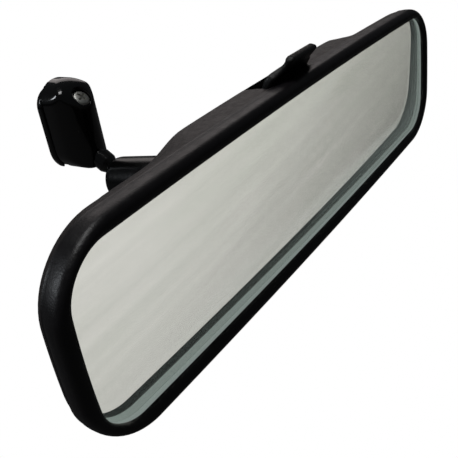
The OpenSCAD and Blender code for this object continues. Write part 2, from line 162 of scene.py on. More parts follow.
def skin(rings, closed=False, caps=True):
    """Points and faces through rings of equal length, with the open ends capped if asked."""
    n, m = len(rings[0]), len(rings)
    points = np.concatenate(rings)
    faces = []
    for j in range(m if closed else m - 1):
        a, b = j * n, (j + 1) % m * n
        faces += [(a + i, a + (i + 1) % n, b + (i + 1) % n, b + i) for i in range(n)]
    if caps and not closed:
        faces += [tuple(range(n - 1, -1, -1)), tuple((m - 1) * n + i for i in range(n))]
    return points, faces


def frame_of(place, axis):
    """Rotation that puts +Z along an axis, and the place, as arrays."""
    turn = Vector(axis).to_track_quat("Z", "Y").to_matrix()
    return np.array(turn), np.asarray(place, float)


def revolve(name, profile, place, axis, steps=96, smooth_deg=35):
    """Closed solid from a closed [radius, height] profile turned about an axis."""
    turn, place = frame_of(place, axis)
    rings = []
    for i in range(steps):
        a = 2 * math.pi * i / steps
        ring = [(r * math.cos(a), r * math.sin(a), h) for r, h in profile]
        rings.append(np.array(ring) @ turn.T + place)
    points, faces = skin(rings, closed=True)
    return mesh_object(name, points, faces, smooth_deg)


def arc(cx, cy, rx, ry, start, end, steps):
    """Points on an arc, by angle in degrees."""
    angles = np.radians(np.linspace(start, end, steps + 1))
    return [(cx + rx * math.cos(a), cy + ry * math.sin(a)) for a in angles]


def block(name, lo, hi, bevel=0.0):
    """Box between two corners, with rounded edges where a bevel is given."""
    bm = bmesh.new()
    bmesh.ops.create_cube(bm, size=1)
    lo, hi = np.array(lo, float), np.array(hi, float)
    for v in bm.verts:
        v.co = Vector((lo + hi) / 2 * MM) + Vector(np.array(v.co) * (hi - lo) * MM)
    if bevel:
        bmesh.ops.bevel(bm, geom=list(bm.edges), offset=bevel * MM, segments=3,
                        profile=0.5, affect="EDGES")
    mesh = bpy.data.meshes.new(name)
    bm.to_mesh(mesh)
    bm.free()
    obj = bpy.data.objects.new(name, mesh)
    bpy.context.scene.collection.objects.link(obj)
    tidy(obj)
    return obj


# ---------------------------------------------------------------- the head's bowed outline

ARC_STEPS = 18
LONG_STEPS = 60
SHORT_STEPS = 14


def bowed(x, z, a, b):
    """Pulls the ends of each side of a rounded rectangle inwards, so that its sides bow out."""
    e, k = END_BOW * a / HALF_W, EDGE_BOW * a / HALF_W
    return (x * (1 - e / HALF_W * (z / b) ** 2), z * (1 - k / HALF_H * (x / a) ** 2))


def outline(a, b, r):
    """Ring of [x, z] points from the half length, the half height and the corner radius."""
    corners = ((a - r, b - r, 0), (r - a, b - r, 90), (r - a, r - b, 180), (a - r, r - b, 270))
    side_ends = ((r - a, b), (-a, r - b), (a - r, -b), (a, b - r))
    ring = []
    for (cx, cz, start), (x1, z1) in zip(corners, side_ends):
        ring += arc(cx, cz, r, r, start, start + 90, ARC_STEPS)
        x0, z0 = ring[-1]
        steps = LONG_STEPS if start % 180 == 0 else SHORT_STEPS
        ring += [(x0 + (x1 - x0) * i / steps, z0 + (z1 - z0) * i / steps)
                 for i in range(1, steps)]
    ring = np.array(ring)
    return np.column_stack(bowed(ring[:, 0], ring[:, 1], a, b))


def head_ring(a, b, r, y):
    """That outline as points of the row frame; y is a depth or a function of z."""
    ring = outline(a, b, r)
    depth = y(ring[:, 1]) if callable(y) else np.full(len(ring), float(y))
    return np.column_stack([ring[:, 0], depth, ring[:, 1]]) + HEAD


def inset_ring(d, y, dz=None):
    """The head's outline, shrunk by d, and by dz in height where it differs."""
    dz = d if dz is None else dz
    corner = CORNER_R - d * (CORNER_R - OPENING_CORNER_R) / RIM_W
    return head_ring(HALF_W - d, HALF_H - dz, corner, y)


# ---------------------------------------------------------------- smooth solids from fields


def hermite(xs, ys, x):
    """Smooth curve through stations, flat beyond the ends."""
    xs, ys = np.asarray(xs, float), np.asarray(ys, float)
    x = np.clip(x, xs[0], xs[-1])
    slope = np.gradient(ys, xs)
    i = np.clip(np.searchsorted(xs, x) - 1, 0, len(xs) - 2)
    w = xs[i + 1] - xs[i]
    t = (x - xs[i]) / w
    return ((2 * t**3 - 3 * t**2 + 1) * ys[i] + (t**3 - 2 * t**2 + t) * w * slope[i]
            + (3 * t**2 - 2 * t**3) * ys[i + 1] + (t**3 - t**2) * w * slope[i + 1])


def either(f, g, k):
    """Union of two fields with a fillet."""
    h = np.maximum(k - np.abs(f - g), 0)
    return np.minimum(f, g) - h * h / (4 * k)


def both(f, g, k):
    """Intersection of two fields with a rounded edge."""
    return -either(-f, -g, k)


def rounded_field(x, z, a, b, low, r):
    """Distance outside a rounded rectangle."""
    z = z - (b - low) / 2
    qx, qz = np.abs(x) - (a - r), np.abs(z) - ((b + low) / 2 - r)
    return np.hypot(np.maximum(qx, 0), np.maximum(qz, 0)) + np.minimum(np.maximum(qx, qz), 0) - r


def section_field(p, stations):
    """Distance outside the bowed section that stations give at each point's depth."""
    ys = [s[0] for s in stations]
    a, b, low, r = (hermite(ys, [s[i] for s in stations], p[:, 1]) for i in range(1, 5))
    half = np.where(p[:, 2] > 0, b, low)
    x, z = p[:, 0], p[:, 2]
    for _ in range(3):
        sx, sz = bowed(x, z, a, half)
        x, z = x + p[:, 0] - sx, z + p[:, 2] - sz
    return rounded_field(x, z, a, b, low, r)


HALVINGS = 40


def surface_points(centre, towards, field, far=200.0):
    """Where the rays from a centre leave a solid, found by halving the distance."""
    rays = towards - centre
    rays /= np.linalg.norm(rays, axis=1)[:, None]
    lo, hi = np.zeros(len(rays)), np.full(len(rays), far)
    for _ in range(HALVINGS):
        mid = (lo + hi) / 2
        inside = field(centre + rays * mid[:, None]) < 0
        lo, hi = np.where(inside, mid, lo), np.where(inside, hi, mid)
    return centre + rays * lo[:, None]


# Depth, half length, top, bottom and corner radius of the dish and of the boss behind it
DISH = [
    (SEAM, HALF_W - 0.9, HALF_H - 0.5, HALF_H - 0.3, CORNER_R),
    (10, HALF_W - 2.9, HALF_H - 1.6, HALF_H - 1.7, CORNER_R - 1),
    (14, HALF_W - 9.6, HALF_H - 3.9, HALF_H - 4.3, CORNER_R - 0.5),
    (18, HALF_W - 19, HALF_H - 6.2, HALF_H - 6.6, CORNER_R),
    (21.5, HALF_W - 36, HALF_H - 9.8, HALF_H - 9.8, CORNER_R - 1),
    (24, HALF_W - 58, HALF_H - 13, HALF_H - 13, CORNER_R - 4),
]
BOSS = [
    (SEAM + 1, 64, HALF_H - 1, HALF_H - 1, 12.5),
    (14, 61.5, HALF_H - 2.6, HALF_H - 2.4, 12.5),
    (20, 57.5, HALF_H - 4.7, HALF_H - 4, 12.5),
    (26, 45.9, HALF_H - 7.6, HALF_H - 4.8, 14),
    (31, 39, HALF_H - 10.6, HALF_H - 5, 15.4),
    (36, 32.3, HALF_H - 12.8, HALF_H - 5, 16.8),
    (41, 25.4, HALF_H - 16.4, HALF_H - 5, 17.8),
    (CASE_BACK, 20.3, HALF_H - 19.4, HALF_H - 5, 18.4),
]
DISH_BACK = 24.4
DISH_ROUND = 5
BOSS_ROUND = 2.4
# Fillet between the two: its size at the seam, its growth, and the depth over which it grows
FILLET = 0.3
FILLET_GROWTH = 11
FILLET_DEPTH = 9
# Point inside the case that the skin's rays start from, in head coordinates
CASE_MIDDLE = np.array([0, 9.5, -3.0])
CASE_RINGS = 110


def case_field(p):
    """The rear case's outer skin, in head coordinates."""
    dish = both(section_field(p, DISH), p[:, 1] - DISH_BACK, DISH_ROUND)
    boss = both(section_field(p, BOSS), p[:, 1] - CASE_BACK, BOSS_ROUND)
    blend = FILLET + FILLET_GROWTH * np.clip((p[:, 1] - SEAM - 1) / FILLET_DEPTH, 0, 1)
    return either(dish, boss, blend)


def rear_case():
    """Thin moulded shell: dish, boss, arm opening and lever slot."""
    seam = head_ring(*(DISH[0][i] for i in (1, 2, 4)), SEAM) - HEAD
    steps = np.linalg.norm(np.roll(seam, -1, 0) - seam, axis=1)
    turn = 2 * np.pi * np.concatenate([[0], np.cumsum(steps)[:-1]]) / steps.sum()
    turn += math.atan2(seam[0, 2], HALF_W)
    ball_z = HEAD_BALL[2] - HEAD[2]
    mouth = np.column_stack([
        OPENING_R * np.cos(turn), np.full(len(turn), CASE_BACK), ball_z + OPENING_R * np.sin(turn)])
    rings = [surface_points(CASE_MIDDLE, seam + (mouth - seam) * s, case_field) + HEAD
             for s in np.linspace(0, 1, CASE_RINGS)]
    points, faces = skin(rings, caps=False)
    obj = mesh_object("rear_case_shell", points, faces)
    solid = obj.modifiers.new("wall", "SOLIDIFY")
    solid.thickness = WALL * MM
    solid.offset = -1
    bake(obj)
    slot_lo = HEAD + (-SLOT_HALF, SEAM + 0.8, SLOT_LOW)
    slot_hi = HEAD + (SLOT_HALF, SLOT_BACK, 40)
    combine(obj, block("slot", slot_lo, slot_hi, 1.0), "DIFFERENCE")
    return obj


def front_bezel():
    """Rim around the glass: rounded outer edge, crowned face, soft inner edge, lip and skirt."""
    back = SEAM - 0.1
    outer = [(0.9, back - 0.35), (0.55, 5.3), (0.15, 4.2), (0, 3.2)]
    crown = arc(2.5, 2.0, 2.5, 2.0 + RIM_CROWN, 180, 270, 12)
    inner = arc(2.5, 0.9, RIM_W - 2.5, 0.9 + RIM_CROWN, 270, 360, 10)[1:]
    pocket = [(RIM_W, LIP), (GLASS_IN - 0.15, LIP), (GLASS_IN - 0.15, SEAM + 0.7)]
    skirt = [(WALL + 1.45, SEAM + 0.7), (WALL + 0.95, back), (0.85, back)]
    profile = outer + crown + inner + pocket + skirt
    rings = []
    for d, y in profile:
        squash = 0.5 if y > 4 and d < 1 else 1
        rings.append(inset_ring(d, y, d * squash))
    points, faces = skin(rings, closed=True)
    obj = mesh_object("bezel_rim", points, faces)
    notch_lo = HEAD + (-SLOT_HALF - 1, SEAM, 20)
    notch_hi = HEAD + (SLOT_HALF + 1, SEAM + 9, 40)
    combine(obj, block("notch", notch_lo, notch_hi), "DIFFERENCE")
    return obj


def glass_back(z):
    """Depth of the prism's silvered face."""
    return LIP + GLASS_THIN + (HALF_H - z) * math.tan(WEDGE)


# Material slots of the prism: its two large faces, and its ground edges
CLEAR, GROUND = 0, 1


def mirror_glass():
    """Wedge of glass with a ground bevel along each edge."""
    front = LIP + 0.02
    rings = [
        inset_ring(GLASS_IN + GRIND, front),
        inset_ring(GLASS_IN, front + GRIND),
        inset_ring(GLASS_IN, lambda z: glass_back(z) - GRIND),
        inset_ring(GLASS_IN + GRIND, glass_back),
    ]
    points, faces = skin(rings)
    obj = mesh_object("prism_glass", points, faces, 20)
    for face in obj.data.polygons:
        face.material_index = CLEAR if len(face.vertices) > 4 else GROUND
    return obj


def silver_back():
    """Thin silver layer on the glass's rear face."""
    gap, thick = 0.02, 0.15
    rings = [inset_ring(GLASS_IN + GRIND, lambda z: glass_back(z) + gap),
             inset_ring(GLASS_IN + GRIND, lambda z: glass_back(z) + gap + thick)]
    points, faces = skin(rings)
    return mesh_object("silver_back", points, faces, 20)


# ---------------------------------------------------------------- foot, arm and lever

foot_lo, foot_hi = size("foot_casting")
FOOT_HALF = foot_hi[0]
FOOT_TOP = foot_hi[2]
FOOT_BOTTOM = foot_lo[2]
FOOT_FRONT = foot_lo[1]
FOOT_DOME_R = 11.2
FOOT_LOW_R = 10.5
CHIN_SLOPE = 0.35
# Middle of the screw's seat, its depth below the sloping shoulder, and the way it faces
SHOULDER = np.array([0, -15.8, 11.1])
SEAT_DEPTH = 1.4
UP_45 = (0, -math.sqrt(0.5), math.sqrt(0.5))
NECK_RISE = math.radians(36)
NECK = (0, math.cos(NECK_RISE), math.sin(NECK_RISE))
arm_axis = FOOT_BALL - HEAD_BALL
ARM_L = np.linalg.norm(arm_axis)
# Arm tube: radii outside and inside, reach of each mouth past its ball's centre, rounded edge
TUBE_R = 9.8
CAVITY_R = 8.6
MOUTH = 3
MOUTH_ROUND = 0.36


def foot_field(p):
    """Foot body: half-round column, domed top, sloping shoulder and round bottom."""
    x, y, z = p.T
    wide = FOOT_HALF - 0.5
    deep = -FOOT_FRONT
    column = (np.hypot(x / wide, np.minimum(y + 3, 0) / (deep - 3)) - 1) * wide
    dome = rounded_field(x, z, wide, FOOT_TOP, -FOOT_BOTTOM - 0.5, FOOT_DOME_R)
    round_low = rounded_field(x, z, wide, 60, -FOOT_BOTTOM - 0.5, FOOT_LOW_R)
    slope = (p - SHOULDER) @ np.array(UP_45) - SEAT_DEPTH
    chin = (-(z - FOOT_BOTTOM) - (y - FOOT_FRONT) * CHIN_SLOPE) * 0.94 + 1.0
    body = both(both(column, dome, 1.2), slope, 3.0)
    body = both(body, round_low, 1.0)
    body = both(body, chin, 3.0)
    return np.maximum(body, y + 1.5)


def cube_sphere(n):
    """Points and quads of a cube whose faces are n by n, to throw rays through."""
    bm = bmesh.new()
    bmesh.ops.create_cube(bm, size=2)
    bmesh.ops.subdivide_edges(bm, edges=bm.edges[:], cuts=n - 1, use_grid_fill=True)
    points = np.array([v.co for v in bm.verts])
    faces = [tuple(v.index for v in f.verts) for f in bm.faces]
    bm.free()
    return points, faces


def foot_casting():
    """Die-cast foot: base plate with a rolled edge, body, button channel, screw seat, stud bore."""
    points, faces = cube_sphere(72)
    centre = np.array([0, -7.0, -4.0])
    stretch = points * (FOOT_HALF, 8, 20)
    obj = mesh_object("foot_body", surface_points(centre, stretch + centre, foot_field, 60), faces)
    combine(obj, foot_plate(), "UNION")
    up, neck = np.array(UP_45), np.array(NECK)
    lip = SEAT_DEPTH - 0.3
    seat = [(0, -2.4), (4.15, -2.4), (4.15, lip - 0.3), (4.4, lip), (5.2, lip + 0.6),
            (5.2, 12), (0, 12)]
    round_end = [(0, -CHANNEL_D), (CHANNEL_HALF, -CHANNEL_D), (CHANNEL_HALF, 6), (0, 6)]
    screw_bore = [(0, -30), (2.05, -30), (2.05, 5), (0, 5)]
    stud_bore = [(0, 0), (4.62, 0), (4.62, 15), (3.5, 15), (3.5, 24), (0, 24)]
    cutters = [
        block("channel", (-CHANNEL_HALF, -CHANNEL_D, -34), (CHANNEL_HALF, 3, CHANNEL_END)),
        revolve("channel_end", round_end, (0, 0, CHANNEL_END), (0, 1, 0)),
        revolve("screw_seat", seat, SHOULDER, up),
        revolve("screw_bore", screw_bore, SHOULDER, up, 48),
        revolve("stud_bore", stud_bore, FOOT_BALL, neck),
    ]
    for cutter in cutters:
        combine(obj, cutter, "DIFFERENCE")
    return obj


def foot_plate():
    """Base plate with a rolled front edge."""
    top, low, top_r, low_r = FOOT_TOP - 2.5, -FOOT_BOTTOM, 8, 11
    rolled = [(1 - math.cos(a), -2 - math.sin(a)) for a in np.radians(np.linspace(0, 90, 7))]
    corners = (
        (FOOT_HALF - top_r, top - top_r, top_r, 0),
        (top_r - FOOT_HALF, top - top_r, top_r, 90),
        (low_r - FOOT_HALF, low_r - low, low_r, 180),
        (FOOT_HALF - low_r, low_r - low, low_r, 270))
    rings = []
    for d, y in [(0.4, 0), (0, -0.4)] + rolled:
        ring = []
        for cx, cz, r, start in corners:
            ring += arc(cx, cz, r - d, r - d, start, start + 90, 14)
        rings.append(np.array([(x, y, z) for x, z in ring]))
    points, faces = skin(rings)
    return mesh_object("plate", points, faces)


def wing(name, place, axis, turn):
    """One tapered wing of a cross recess."""
    turn_m, place = frame_of(place, axis)
    c, s = math.cos(turn), math.sin(turn)
    rings = []
    for z, half_l, half_t in ((-1.7, 0.8, 0.35), (-0.4, 2.1, 0.5), (2, 2.6, 0.6)):
        flat = [(half_l, half_t), (-half_l, half_t), (-half_l, -half_t), (half_l, -half_t)]
        ring = np.array([(x * c - y * s, x * s + y * c, z) for x, y in flat])
        rings.append(ring @ turn_m.T + place)
    points, faces = skin(rings)
    return mesh_object(name, points, faces)


def clamp_screw():
    """Pan-head screw with a cross recess and a threaded shank."""
    head_r, pitch, tip, crown = 3.95, 0.7, 8.4, 0.6
    profile = [(0, -tip), (1.3, -tip), (1.7, -tip + 0.6)]
    turns = int((tip - 3.4) / pitch)
    for i in range(turns):
        z = -tip + 0.9 + i * pitch
        profile += [(2.0, z), (1.62, z + pitch / 2)]
    profile += [(1.8, -2.9), (1.8, -2.4), (head_r - 0.15, -2.4), (head_r, -2.25), (head_r, -1.1)]
    profile += arc(head_r - 1.2, -1.1, 1.2, 1.1, 0, 60, 6)[1:]
    top_r, top_z = profile[-1]
    profile += [(top_r * math.cos(a), top_z + (crown - top_z) * math.sin(a))
                for a in np.radians([15, 30, 45, 60, 75, 88])]
    profile.append((0, crown))
    obj = revolve("clamp_screw_head", profile, SHOULDER, UP_45, 72, 30)
    for turn in (20, 110):
        combine(obj, wing("wing", SHOULDER, UP_45, math.radians(turn)), "DIFFERENCE", 30)
    return obj


def arm_tube():
    """Steel tube with both mouths rolled in over the balls."""
    edge = MOUTH - MOUTH_ROUND
    out_a = math.degrees(math.asin(edge / TUBE_R))
    in_a = math.degrees(math.asin(edge / CAVITY_R))
    rim_out = TUBE_R * math.cos(math.radians(out_a))
    rim_in = CAVITY_R * math.cos(math.radians(in_a))
    rim = arc((rim_out + rim_in) / 2, 0, (rim_out - rim_in) / 2, MOUTH_ROUND, 0, 180, 8)[1:-1]
    far = [(r, ARM_L + z) for r, z in arc(0, 0, TUBE_R, TUBE_R, 0, out_a, 8)]
    far_rim = [(r, ARM_L + edge + z) for r, z in rim]
    far_in = [(r, ARM_L + z) for r, z in arc(0, 0, CAVITY_R, CAVITY_R, in_a, 0, 8)]
    half = far + far_rim + far_in
    near = [(r, ARM_L - z) for r, z in reversed(half)]
    return revolve("arm_sleeve", half + near, HEAD_BALL, arm_axis, 128, 30)


# Lever's sections from its base to its finger: y and z of the front edge, y and z of the back
# edge, and the half width
LEVER = np.array([
    (9.0, 25.0, 13.2, 25.0, 13.5), (8.1, 28.0, 12.0, 28.2, 13.5), (7.4, 31.0, 10.6, 31.4, 13.4),
    (6.5, 32.6, 9.6, 33.4, 13.3), (5.5, 33.8, 8.2, 35.0, 12.7), (4.4, 34.9, 6.6, 36.1, 10.4),
    (3.1, 36.0, 5.0, 37.1, 9.0), (1.9, 37.1, 4.0, 38.2, 8.8), (0.8, 38.3, 3.6, 39.2, 8.8),
    (0.4, 39.0, 3.2, 39.8, 8.2)])
# Radius of each boss on a cheek and of the hole through it: the pivot's, then the toggle pin's
HUB_R, HUB_HOLE_R = 4, 2.0
CRANK_R, CRANK_HOLE_R = 2.6, 1.3


def lever_tab():
    """Day and night lever: broad base, waisted neck, forward-leaning finger pad, hub cheeks."""
    steps = 44
    at = np.linspace(0, len(LEVER) - 1, steps)
    rows = np.column_stack([hermite(range(len(LEVER)), LEVER[:, i], at) for i in range(5)])
    rings = []
    shrink = np.concatenate([[0.6], np.zeros(steps), [0.25, 0.8]])
    grow = np.concatenate([[0.0], np.zeros(steps), [0.25, 0.42]])
    rows = np.vstack([rows[:1], rows, rows[-1:], rows[-1:]])
    for (fy, fz, by, bz, w), d, rise in zip(rows, shrink, grow):
        front, back = np.array([0, fy, fz]), np.array([0, by, bz])
        thick = np.linalg.norm(back - front)
        along = (back - front) / thick
        r = min(1.1, thick / 2 - 0.05)
        up = np.array([0, -along[2], along[1]])
        middle = (front + back) / 2 + up * rise
        h = thick / 2
        ring = []
        for cx, cz, start in ((w - r, h - r, 0), (r - w, h - r, 90),
                              (r - w, r - h, 180), (w - r, r - h, 270)):
            ring += arc(cx, cz, r - d * r, r - d * r, start, start + 90, 6)
        rings.append(np.array([middle + (u, 0, 0) + along * v for u, v in ring]) + HEAD)
    points, faces = skin(rings)
    obj = mesh_object("lever_finger", points, faces)
    toggle_lo, toggle_hi = size("toggle_pin")
    crank = (toggle_lo + toggle_hi) / 2
    hub = LEVER_AXIS + HEAD
    for side in (-1, 1):
        inner, outer = sorted((side * CHEEK_X, side * (CHEEK_X + CHEEK_T)))
        for place, r in ((hub, HUB_R), (crank, CRANK_R)):
            disc = [(0, inner), (r - 0.3, inner), (r, inner + 0.3),
                    (r, outer - 0.3), (r - 0.3, outer), (0, outer)]
            combine(obj, revolve("hub", disc, (0, place[1], place[2]), (1, 0, 0), 64), "UNION")
        web_lo, web_hi = (inner, hub[1] - 3.2, hub[2]), (outer, hub[1] + 1.8, hub[2] + 7.5)
        combine(obj, block("web", web_lo, web_hi, 0.3), "UNION")
    for place, r in ((hub, HUB_HOLE_R), (crank, CRANK_HOLE_R)):
        hole = [(0, -20), (r, -20), (r, 20), (0, 20)]
        combine(obj, revolve("hole", hole, (0, place[1], place[2]), (1, 0, 0), 64), "DIFFERENCE")
    return obj


# ---------------------------------------------------------------- materials


def linear(r, g, b):
    """Display colour, 0 to 255, as scene-linear values."""
    return tuple((c / 255 / 12.92 if c <= 10 else ((c / 255 + 0.055) / 1.055) ** 2.4)
                 for c in (r, g, b)) + (1.0,)


def set_input(tree, socket, value):
    """Links an input to an output, or sets it to a number or a colour."""
    if isinstance(value, bpy.types.NodeSocket):
        tree.links.new(value, socket)
    else:
        socket.default_value = value


def add_node(tree, kind, **inputs):
    """New node with its inputs fed; an underscore in a key stands for a space."""
    made = tree.nodes.new(kind)
    for key, value in inputs.items():
        set_input(tree, made.inputs[key.replace("_", " ")], value)
    return made


def map_range(tree, value, from_low, from_high, low, high):
    """Maps a pattern from one range to another."""
    made = add_node(tree, "ShaderNodeMapRange", Value=value, From_Min=from_low,
                    From_Max=from_high, To_Min=low, To_Max=high)
    return made.outputs["Result"]


def multiply(tree, first, second):
    """Product of two patterns."""
    made = tree.nodes.new("ShaderNodeMath")
    made.operation = "MULTIPLY"
    tree.links.new(first, made.inputs[0])
    tree.links.new(second, made.inputs[1])
    return made.outputs[0]


class Shader:
    """A material with one Principled shader, and short ways to feed it."""

    def __init__(self, name, metallic=0.0, **sockets):
        self.material = bpy.data.materials.new(name + "_look")
        self.material.use_nodes = True
        self.tree = self.material.node_tree
        self.shader = self.tree.nodes["Principled BSDF"]
        self.shader.inputs["Metallic"].default_value = metallic
        for key, value in sockets.items():
            self.shader.inputs[key.replace("_", " ")].default_value = value
        self.place = self.tree.nodes.new("ShaderNodeTexCoord").outputs["Object"]
        self.bump_from = None

    def noise(self, scale, detail=4.0, stretch=None):
        """Noise, optionally stretched along an axis; scale counts features in a metre."""
        place = self.place
        if stretch:
            mapping = add_node(self.tree, "ShaderNodeMapping", Vector=place, Scale=stretch)
            place = mapping.outputs["Vector"]
        made = add_node(self.tree, "ShaderNodeTexNoise", Vector=place, Scale=scale, Detail=detail)
        return made.outputs["Fac"]

    def cells(self, scale):
        """Cell pattern for moulded grain."""
        made = add_node(self.tree, "ShaderNodeTexVoronoi", Vector=self.place, Scale=scale)
        return made.outputs["Distance"]

    def span(self, value, low, high, from_low=0.3, from_high=0.7):
        """Maps a pattern to a range."""
        return map_range(self.tree, value, from_low, from_high, low, high)

    def blend(self, factor, first, second):
        """Mixes two colours or sockets."""
        made = self.tree.nodes.new("ShaderNodeMix")
        made.data_type = "RGBA"
        for i, value in ((0, factor), (6, first), (7, second)):
            set_input(self.tree, made.inputs[i], value)
        return made.outputs[2]

    def wear(self, low, high):
        """One along raised edges."""
        edge = self.tree.nodes.new("ShaderNodeNewGeometry").outputs["Pointiness"]
        return self.span(edge, 0.0, 1.0, low, high)

    def feed(self, name, value):
        """Links a pattern to one of the shader's own inputs."""
        self.tree.links.new(value, self.shader.inputs[name])

    def bump(self, height, depth, strength=1.0):
        """Adds relief of a depth in metres on top of what is there."""
        made = add_node(self.tree, "ShaderNodeBump", Height=height, Strength=strength,
                        Distance=depth)
        if self.bump_from:
            self.tree.links.new(self.bump_from, made.inputs["Normal"])
        self.bump_from = made.outputs["Normal"]
        self.feed("Normal", self.bump_from)


def moulded(name, dark, light, rough, grain, depth, worn, **sockets):
    """Moulded plastic: fine cell grain, cloudy colour, paler rubbed edges."""
    s = Shader(name, **sockets)
    cloud = s.noise(90, 3.0)
    body = s.blend(s.span(cloud, 0.0, 1.0), linear(*dark), linear(*light))
    rub = multiply(s.tree, s.wear(0.57, 0.7), s.span(s.noise(260, 5.0), 0.0, 0.6))
    s.feed("Base Color", s.blend(rub, body, linear(*worn)))
    s.feed("Roughness", s.span(s.noise(400, 6.0), rough - 0.06, rough + 0.08))
    s.bump(s.cells(grain), depth, 0.6)
    s.bump(s.noise(grain * 1.7, 2.0), depth * 0.6, 0.5)
    return s.material


def painted(name, dark, light, rough, peel, depth, worn, **sockets):
    """Gloss or satin paint: orange peel, faint dust and thin rubbed edges."""
    s = Shader(name, **sockets)
    body = s.blend(s.span(s.noise(120, 4.0), 0.0, 1.0), linear(*dark), linear(*light))
    rub = s.span(s.wear(0.6, 0.8), 0.0, 0.25, 0.0, 1.0)
    s.feed("Base Color", s.blend(rub, body, linear(*worn)))
    s.feed("Roughness", s.span(s.noise(700, 6.0), rough, rough + 0.07))
    s.bump(s.noise(peel, 2.0), depth, 0.35)
    return s.material


def metal(name, pale, dull, rough, stretch, **sockets):
    """Plated or drawn metal: directional scratches and cloudy tarnish."""
    s = Shader(name, 1.0, **sockets)
    tarnish = s.span(s.noise(220, 5.0), 0.0, 1.0)
    s.feed("Base Color", s.blend(tarnish, linear(*pale), linear(*dull)))
    s.feed("Roughness", s.span(s.noise(500, 6.0, stretch), rough, rough + 0.18))
    s.bump(s.noise(900, 3.0, stretch), 0.00003, 0.4)
    return s.material


def foam_material(name):
    """Open-cell foam, with painted shade darkening the pits of its pores."""
    s = Shader(name, Roughness=0.95)
    pores = s.cells(2200)
    # painted shade: the colour is darkest at the bottom of each pore's pit, where the bump sinks
    painted_pit_shade = s.span(pores, 0.0, 1.0, 0.1, 0.6)
    s.feed("Base Color", s.blend(painted_pit_shade, linear(22, 22, 23), linear(66, 66, 68)))
    s.bump(pores, 0.0004, 0.8)
    return s.material


def glass_material(name):
    """Clear glass with faint smears."""
    s = Shader(name, IOR=1.52, Transmission_Weight=1.0)
    smear = s.noise(30, 5.0, (1.0, 1.0, 6.0))
    tint = s.blend(s.span(smear, 0.0, 1.0), linear(249, 253, 251), linear(252, 255, 254))
    s.feed("Base Color", tint)
    s.feed("Roughness", s.span(smear, 0.0, 0.003, 0.45, 0.75))
    return s.material


def ground_edge_material(name):
    """Ground edge of the prism; a faint emission stands in for light piped along the glass."""
    s = Shader(name, Roughness=0.5, Emission_Strength=0.36)
    grind = s.noise(2600, 3.0, (1.0, 1.0, 0.2))
    for socket, low, high in (("Base Color", (120, 140, 134), (150, 168, 162)),
                              ("Emission Color", (186, 200, 195), (206, 216, 212))):
        s.feed(socket, s.blend(s.span(grind, 0.0, 1.0), linear(*low), linear(*high)))
    s.bump(grind, 0.00004, 0.6)
    return s.material


def silver_material(name):
    """Silvered back of the prism, slightly warm."""
    s = Shader(name, 1.0)
    cloud = s.span(s.noise(14, 3.0), 0.0, 1.0)
    s.feed("Base Color", s.blend(cloud, linear(244, 243, 241), linear(248, 247, 246)))
    s.feed("Roughness", s.span(s.noise(60, 4.0), 0.0, 0.003))
    return s.material


# Moulded slots: darker and lighter colour, roughness, grain cells in a metre, depth of the grain
# in metres, colour where rubbed
MOULDED = {
    "case_plastic": ((40, 35, 34), (47, 42, 41), 0.5, 1500, 0.00012, (88, 83, 81)),
    "bezel_plastic": ((17, 15, 17), (23, 20, 23), 0.4, 1900, 0.00005, (62, 58, 60)),
    "lever_plastic": ((8, 8, 8), (13, 13, 12), 0.46, 1700, 0.00006, (50, 48, 46)),
    "frame_plastic": ((34, 35, 38), (46, 47, 50), 0.6, 900, 0.0001, (88, 88, 90)),
    "nylon": ((206, 200, 182), (222, 217, 202), 0.42, 1100, 0.00005, (236, 233, 224)),
    "slip_film": ((222, 220, 213), (236, 234, 229), 0.3, 1600, 0.00003, (246, 245, 242)),
    "rubber": ((20, 20, 20), (31, 30, 30), 0.72, 1300, 0.0001, (58, 57, 56)),
}
# Painted slots: the same, with the orange peel's scale and depth in place of the grain's
PAINTED = {
    "foot_paint": ((2, 2, 2), (4, 4, 4), 0.12, 420, 0.00006, (52, 49, 45)),
    "arm_paint": ((4, 4, 4), (8, 8, 8), 0.18, 500, 0.00002, (60, 57, 52)),
}
# Metal slots: bright and dull colour, roughness, stretch of the scratches
DRAWN = (6.0, 6.0, 0.4)
METALS = {
    "steel": ((176, 177, 180), (140, 141, 145), 0.24, DRAWN),
    "spring_steel": ((150, 150, 152), (104, 103, 104), 0.3, (1.0, 1.0, 1.0)),
    "zinc_plate": ((240, 240, 234), (205, 205, 198), 0.4, (1.0, 5.0, 1.0)),
    "bronze": ((182, 138, 78), (128, 90, 46), 0.3, DRAWN),
}
# Shader sockets that only some slots set
MORE_SOCKETS = {
    "foot_paint": {"Coat_Weight": 0.6, "Coat_Roughness": 0.05},
    "nylon": {"Subsurface_Weight": 0.15},
}


def make_materials():
    """One material for each slot of the record."""
    made = {
        "foam": foam_material("foam"),
        "silver": silver_material("silver"),
        "mirror_glass": glass_material("mirror_glass"),
    }
    for maker, rows in ((moulded, MOULDED), (painted, PAINTED), (metal, METALS)):
        for slot, row in rows.items():
            made[slot] = maker(slot, *row, **MORE_SOCKETS.get(slot, {}))
    return made


# ---------------------------------------------------------------- dressing the pieces


def dress(obj, body, slot, materials, replaced=None):
    """Gives a new piece the material of its record slot and its body, and hides the CAD node it
    replaces.
    """
    obj.data.materials.clear()
    obj.data.materials.append(materials[slot])
    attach(obj, body)
    if replaced:
        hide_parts(replaced)
    return obj


